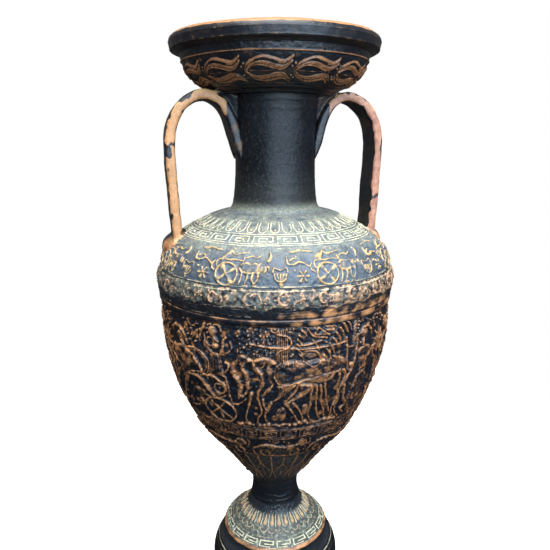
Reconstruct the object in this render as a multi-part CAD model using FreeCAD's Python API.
"""Large floor-standing terracotta amphora with two strap handles, after the Greek pattern.

It is built as a potter builds one: a plinth ring, a bell foot, a stem, a belly, a shoulder, a neck,
a dished mouth and a rim are made apart and luted together, a plain cordon and a wide strip of clay
are laid over the joint at the widest point, and the two strap handles with their clay lugs come last.
Units are millimetres, +Z is up, and the origin is the centre of the flat face that the plinth rests on.
The handles stand on the X axis. Every turned piece is one profile turned about Z: its outer line is
read upwards and its inner line downwards, both as (radius, height).
"""

import os

import FreeCAD
import Part
from FreeCAD import Vector

# Driving heights of the joints between pieces, from the floor up
PLINTH_TOP = 88.0
FOOT_TOP = 179.0
STEM_TOP = 233.0
BELLY_TOP = 604.0
CORDON_TOP = 617.0
GIRDLE_TOP = 664.0
SHOULDER_TOP = 764.0
NECK_TOP = 955.0
COLLAR_TOP = 964.5
BOWL_TOP = 1019.0
RIM_TOP = 1048.0

# Driving radii
PLINTH_R = 128.0
PLINTH_WALL = 16.0
PLINTH_BEAD_R = 115.0
LEDGE_R = 86.0
SKIRT_R = 113.0
FOOT_EDGE_R = 104.5
STEM_FOOT_R = 49.0
STEM_R = 45.2
STEM_TOP_R = 50.5
BELLY_R = 207.3
SEAT_R = 208.0
CORDON_R = 212.6
GIRDLE_R = 214.8
NECK_FOOT_R = 80.0
NECK_R = 70.6
THROAT_R = 60.0
COLLAR_R = 112.0
BOWL_R = 161.0
RIM_R = 178.8
WALL = 12.0

# Handles: the strap's middle line lies in the plane Y = 0
STRAP_W = 60.0
STRAP_T = 15.0
STRAP_EDGE = 4.5
LEG_R = 182.5
LEG_FOOT_R = 176.0
ARCH_TOP = 955.0
ARCH_SHOULDER = 893.0
ARCH_CREST_R = 122.0
ROOT_R = 51.0
ROOT_FOOT = 840.0
LEG_FOOT = 700.0
LUG_SIZE = (25.0, 35.0, 17.0)
LUG_TILT = 38.0
LUG_R = 181.0
LUG_HEIGHT = 706.0

# The belly's floor inside, and the step that seats the upper shell and the bowl
FLOOR_TOP = 262.0
FLOOR_R = 22.0
BELLY_SEAT = BELLY_TOP + 0.7
BOWL_SEAT = COLLAR_TOP + 2.0


def point(radius, height):
    """A profile point in the XZ plane."""
    return Vector(radius, 0, height)


def line(a, b):
    return Part.LineSegment(point(*a), point(*b)).toShape()


def arc(a, middle, b):
    return Part.Arc(point(*a), point(*middle), point(*b)).toShape()


def curve(points, start=None, end=None):
    """A smooth spline through a few profile points, with optional end directions."""
    spline = Part.BSplineCurve()
    tangents = {}
    if start and end:
        tangents = {"InitialTangent": point(*start), "FinalTangent": point(*end)}
    spline.interpolate(Points=[point(*p) for p in points], **tangents)
    return spline.toShape()


def turned(*edges):
    """The solid of revolution of a closed profile."""
    wire = Part.Wire(Part.__sortEdges__(list(edges)))
    if not wire.isClosed():
        raise ValueError("the profile isn't closed")
    solid = Part.Face(wire).revolve(Vector(0, 0, 0), Vector(0, 0, 1), 360)
    return Part.Solid(solid.Shells[0]) if solid.ShapeType != "Solid" else solid


# Shared outer and inner lines, so that pieces meet face to face and the handles can be fitted to them
BELLY_LINE = [
    (STEM_TOP_R, STEM_TOP),
    (99.0, 300.0),
    (140.0, 355.0),
    (174.9, 420.0),
    (198.9, 500.0),
    (BELLY_R, BELLY_TOP),
]
SHOULDER_LINE = [
    (SEAT_R, GIRDLE_TOP),
    (197.5, 694.0),
    (169.0, 723.0),
    (130.0, 744.5),
    (92.0, 759.0),
    (NECK_FOOT_R, SHOULDER_TOP),
]
NECK_LINE = [
    (NECK_FOOT_R, SHOULDER_TOP),
    (73.6, 788.0),
    (NECK_R, 842.0),
    (71.6, 900.0),
    (76.0, NECK_TOP),
]
COLLAR_LOWER_RING = [(86.0, NECK_TOP), (95.0, 955.6), (99.0, 960.5)]
COLLAR_UPPER_RING = [(99.0, 960.5), (107.6, 960.8), (COLLAR_R, COLLAR_TOP)]
BOWL_LINE = [
    (COLLAR_R, COLLAR_TOP),
    (134.5, 976.0),
    (152.0, 994.5),
    (BOWL_R, BOWL_TOP),
]


def belly_outside():
    return curve(BELLY_LINE, start=(0.8, 1.0), end=(0.0, 1.0))


def shoulder_outside():
    return curve(SHOULDER_LINE, start=(-0.05, 1.0), end=(-0.75, 1.0))


def neck_outside():
    return curve(NECK_LINE, start=(-0.75, 1.0), end=(0.12, 1.0))


def bowl_outside():
    return curve(BOWL_LINE, start=(1.0, 0.38), end=(0.22, 1.0))


def base_plinth():
    """A hollow ring: flat rim underneath, a rounded wall, and an inner ledge that carries the bell foot."""
    foot_round = 4.0
    wall_top = 46.0
    inner_r = PLINTH_R - PLINTH_WALL
    round_r = inner_r - 10.0
    ledge_foot = PLINTH_TOP - PLINTH_WALL
    round_foot = ledge_foot - 10.0
    return turned(
        line((inner_r, 0), (PLINTH_R - foot_round, 0)),
        arc((PLINTH_R - foot_round, 0), (PLINTH_R - 1.2, 1.2), (PLINTH_R, foot_round)),
        line((PLINTH_R, foot_round), (PLINTH_R, wall_top)),
        arc((PLINTH_R, wall_top), (PLINTH_R - 3.3, 68), (PLINTH_BEAD_R, PLINTH_TOP)),
        line((PLINTH_BEAD_R, PLINTH_TOP), (LEDGE_R, PLINTH_TOP)),
        line((LEDGE_R, PLINTH_TOP), (LEDGE_R, ledge_foot)),
        line((LEDGE_R, ledge_foot), (round_r, ledge_foot)),
        arc((round_r, ledge_foot), (inner_r - 3, ledge_foot - 3), (inner_r, round_foot)),
        line((inner_r, round_foot), (inner_r, 0)),
    )


def foot_bell():
    """The bell foot: a hollow skirt, a square edge bead, and an ogee up to the stem."""
    skirt_top = (103.0, 109.0)
    edge_top = (101.5, 119.5)
    inner_top = (STEM_FOOT_R - WALL, FOOT_TOP)
    return turned(
        line((LEDGE_R, PLINTH_TOP), (SKIRT_R, PLINTH_TOP)),
        arc((SKIRT_R, PLINTH_TOP), (106.3, 97.0), skirt_top),
        arc(skirt_top, (FOOT_EDGE_R, 114.5), edge_top),
        curve(
            [edge_top, (87.4, 132.0), (66.0, 151.0), (54.0, 165.0), (STEM_FOOT_R, FOOT_TOP)],
            start=(-0.9, 1.0),
            end=(-0.25, 1.0),
        ),
        line((STEM_FOOT_R, FOOT_TOP), inner_top),
        curve(
            [inner_top, (52.0, 150.0), (74.0, 126.0), (LEDGE_R, PLINTH_TOP)],
            start=(0.25, -1.0),
            end=(0.1, -1.0),
        ),
    )


def stem():
    """The short waist that was luted between foot and belly."""
    inner_foot = (STEM_FOOT_R - WALL, FOOT_TOP)
    inner_top = (STEM_TOP_R - WALL, STEM_TOP)
    return turned(
        line(inner_foot, (STEM_FOOT_R, FOOT_TOP)),
        curve(
            [(STEM_FOOT_R, FOOT_TOP), (STEM_R, 196.0), (STEM_R, 216.0), (STEM_TOP_R, STEM_TOP)],
            start=(-0.25, 1.0),
            end=(0.6, 1.0),
        ),
        line((STEM_TOP_R, STEM_TOP), inner_top),
        arc(inner_top, (STEM_R - WALL, 206.0), inner_foot),
    )


def lower_body():
    """The belly below the joint, with a closed floor over the hollow stem."""
    inner_top = (BELLY_R - WALL, BELLY_TOP)
    floor = (FLOOR_R, FLOOR_TOP)
    return turned(
        line((0, STEM_TOP), (STEM_TOP_R, STEM_TOP)),
        belly_outside(),
        line((BELLY_R, BELLY_TOP), inner_top),
        curve(
            [inner_top, (186.6, 500.0), (162.0, 420.0), (126.0, 355.0), (82.0, 298.0), floor],
            start=(0.0, -1.0),
            end=(-1.0, -0.25),
        ),
        line(floor, (0, FLOOR_TOP)),
        line((0, FLOOR_TOP), (0, STEM_TOP)),
    )


def cordon():
    """A plain half-round coil laid over the joint of belly and shoulder."""
    top_r = CORDON_R - 1.2
    return turned(
        line((BELLY_R, BELLY_TOP), (BELLY_R, BELLY_SEAT)),
        line((BELLY_R, BELLY_SEAT), (SEAT_R, BELLY_SEAT)),
        line((SEAT_R, BELLY_SEAT), (SEAT_R, CORDON_TOP)),
        line((SEAT_R, CORDON_TOP), (top_r, CORDON_TOP)),
        arc((top_r, CORDON_TOP), (CORDON_R, 611.0), (BELLY_R, BELLY_TOP)),
    )


def girdle_strip():
    """The wide strip of clay round the widest point, which carries the scroll pattern."""
    foot_r = CORDON_R - 1.0
    top_edge = (SEAT_R + 1.6, GIRDLE_TOP - 0.6)
    return turned(
        line((SEAT_R, CORDON_TOP), (foot_r, CORDON_TOP)),
        arc((foot_r, CORDON_TOP), (GIRDLE_R, 633.0), top_edge),
        line(top_edge, (SEAT_R, GIRDLE_TOP)),
        line((SEAT_R, GIRDLE_TOP), (SEAT_R, CORDON_TOP)),
    )


def shoulder():
    """The upper shell, from the joint up to the foot of the neck."""
    inner_foot = (BELLY_R - WALL, BELLY_TOP)
    inner_top = (NECK_FOOT_R - WALL, SHOULDER_TOP)
    return turned(
        line(inner_foot, (BELLY_R, BELLY_TOP)),
        line((BELLY_R, BELLY_TOP), (BELLY_R, BELLY_SEAT)),
        line((BELLY_R, BELLY_SEAT), (SEAT_R, BELLY_SEAT)),
        line((SEAT_R, BELLY_SEAT), (SEAT_R, GIRDLE_TOP)),
        shoulder_outside(),
        line((NECK_FOOT_R, SHOULDER_TOP), inner_top),
        curve(
            [inner_top, (94.0, 745.0), (128.0, 732.0), (162.0, 712.0), (187.0, 686.0), inner_foot],
            start=(0.5, -1.0),
            end=(0.0, -1.0),
        ),
    )


def neck():
    """The tall waisted tube between shoulder and mouth."""
    inner_foot = (NECK_FOOT_R - WALL, SHOULDER_TOP)
    throat_foot = (THROAT_R, 790.0)
    return turned(
        line(inner_foot, (NECK_FOOT_R, SHOULDER_TOP)),
        neck_outside(),
        line(NECK_LINE[-1], (THROAT_R, NECK_TOP)),
        line((THROAT_R, NECK_TOP), throat_foot),
        arc(throat_foot, (62.3, 775.0), inner_foot),
    )


def neck_collar():
    """Two stacked rings that hide the joint of neck and mouth."""
    return turned(
        line((THROAT_R, NECK_TOP), COLLAR_LOWER_RING[0]),
        arc(*COLLAR_LOWER_RING),
        arc(*COLLAR_UPPER_RING),
        line((COLLAR_R, COLLAR_TOP), (COLLAR_R, BOWL_SEAT)),
        line((COLLAR_R, BOWL_SEAT), (THROAT_R, BOWL_SEAT)),
        line((THROAT_R, BOWL_SEAT), (THROAT_R, NECK_TOP)),
    )


def mouth_bowl():
    """The dished mouth, with the ridge that tops its frieze."""
    inner_top = (BOWL_R - WALL, BOWL_TOP)
    return turned(
        line((THROAT_R, BOWL_SEAT), (COLLAR_R, BOWL_SEAT)),
        line((COLLAR_R, BOWL_SEAT), (COLLAR_R, COLLAR_TOP)),
        bowl_outside(),
        line((BOWL_R, BOWL_TOP), inner_top),
        curve(
            [inner_top, (140.0, 1000.0), (118.0, 983.5), (84.0, 976.0), (THROAT_R, BOWL_SEAT)],
            start=(-0.3, -1.0),
            end=(-0.7, -1.0),
        ),
    )


def rim_ring():
    """The overhanging lip: a flat outer band with a rounded top."""
    inner_foot = (BOWL_R - WALL, BOWL_TOP)
    under_edge = (174.6, 1024.0)
    band_foot = (176.8, 1026.8)
    band_top = (RIM_R, 1037.0)
    crown = (166.0, RIM_TOP)
    inner_edge = (152.0, 1035.0)
    return turned(
        line(inner_foot, (BOWL_R, BOWL_TOP)),
        arc((BOWL_R, BOWL_TOP), (168.0, 1022.6), under_edge),
        arc(under_edge, (176.2, 1024.9), band_foot),
        line(band_foot, band_top),
        arc(band_top, (174.6, 1045.4), crown),
        arc(crown, (157.0, 1044.0), inner_edge),
        line(inner_edge, inner_foot),
    )


def pot_skin():
    """A solid inside the outer skin of shoulder, neck and collar, to fit the handles to."""
    return turned(
        line((0, BELLY_TOP), (SEAT_R, BELLY_TOP)),
        line((SEAT_R, BELLY_TOP), (SEAT_R, GIRDLE_TOP)),
        shoulder_outside(),
        neck_outside(),
        line(NECK_LINE[-1], COLLAR_LOWER_RING[0]),
        arc(*COLLAR_LOWER_RING),
        arc(*COLLAR_UPPER_RING),
        bowl_outside(),
        line((BOWL_R, BOWL_TOP), (0, BOWL_TOP)),
        line((0, BOWL_TOP), (0, BELLY_TOP)),
    )


def strap_line():
    """The strap's middle line in the plane Y = 0: up the neck, over the arch and down to the shoulder."""
    spline = Part.BSplineCurve()
    rise = [(ROOT_R, ROOT_FOOT), (78.0, 905.0), (95.5, 940.0)]
    arch = [(ARCH_CREST_R, ARCH_TOP), (152.0, 945.5), (173.5, 921.0)]
    leg = [(LEG_R, ARCH_SHOULDER), (LEG_R + 1.0, 830.0), (LEG_R - 2.0, 765.0), (LEG_FOOT_R, LEG_FOOT)]
    spline.interpolate([point(*p) for p in rise + arch + leg])
    return spline


def strap_side(offset):
    """One face line of the strap: its middle line moved outwards by offset."""
    middle = strap_line()
    steps = 28
    moved = []
    for i in range(steps + 1):
        u = middle.FirstParameter + (middle.LastParameter - middle.FirstParameter) * i / steps
        along = Vector(*middle.tangent(u)[0])
        moved.append(middle.value(u) + Vector(-along.z, 0, along.x) * offset)
    side = Part.BSplineCurve()
    side.interpolate(moved)
    return side.toShape()


def strap():
    """The bare strap of the +X handle, before it is fitted to the pot."""
    upper, lower = strap_side(STRAP_T / 2), strap_side(-STRAP_T / 2)
    ends = [
        Part.LineSegment(upper.Vertexes[i].Point, lower.Vertexes[i].Point).toShape() for i in (0, -1)
    ]
    wire = Part.Wire(Part.__sortEdges__([upper, lower, *ends]))
    band = Part.Face(wire).extrude(Vector(0, STRAP_W, 0))
    band.translate(Vector(0, -STRAP_W / 2, 0))
    long_edges = [e for e in band.Edges if e.Length > STRAP_W * 2]
    return band.makeFillet(STRAP_EDGE, long_edges)


def lug():
    """The pad of clay pressed round the strap's foot, before it is fitted."""
    ball = Part.makeSphere(1.0)
    scale = FreeCAD.Matrix()
    scale.scale(*LUG_SIZE)
    pad = ball.transformGeometry(scale)
    pad.rotate(Vector(0, 0, 0), Vector(0, 1, 0), LUG_TILT)
    pad.translate(Vector(LUG_R, 0, LUG_HEIGHT))
    return pad


def largest(shape):
    return max(shape.Solids, key=lambda s: s.Volume)


def handle_pair():
    """The +X handle and its lug, cut to the pot's skin, and both turned to the -X side."""
    skin = pot_skin()
    belt = girdle_strip()
    handle = largest(strap().cut(skin))
    pad = largest(lug().cut(skin).cut(belt).cut(handle))
    turned_round = []
    for piece in (handle, pad):
        other = piece.copy()
        other.rotate(Vector(0, 0, 0), Vector(0, 0, 1), 180)
        turned_round.append(other)
    return handle, pad, turned_round[0], turned_round[1]


def build():
    handle_right, lug_right, handle_left, lug_left = handle_pair()
    return {
        "base_plinth": base_plinth(),
        "foot_bell": foot_bell(),
        "stem": stem(),
        "lower_body": lower_body(),
        "cordon": cordon(),
        "girdle_strip": girdle_strip(),
        "shoulder": shoulder(),
        "neck": neck(),
        "neck_collar": neck_collar(),
        "mouth_bowl": mouth_bowl(),
        "rim_ring": rim_ring(),
        "handle_right": handle_right,
        "handle_left": handle_left,
        "lug_right": lug_right,
        "lug_left": lug_left,
    }


def main():
    os.makedirs("parts", exist_ok=True)
    for name, shape in build().items():
        if not shape.isValid() or shape.Volume <= 0:
            raise ValueError(f"{name} isn't a sound solid")
        shape.exportStep(f"parts/{name}.step")
        box = shape.optimalBoundingBox()
        print(f"{name:14s} {len(shape.Solids)} solid, {shape.Volume / 1000:8.1f} cm3, "
              f"Z {box.ZMin:.1f} to {box.ZMax:.1f}, X {box.XMin:.1f} to {box.XMax:.1f}")


main()
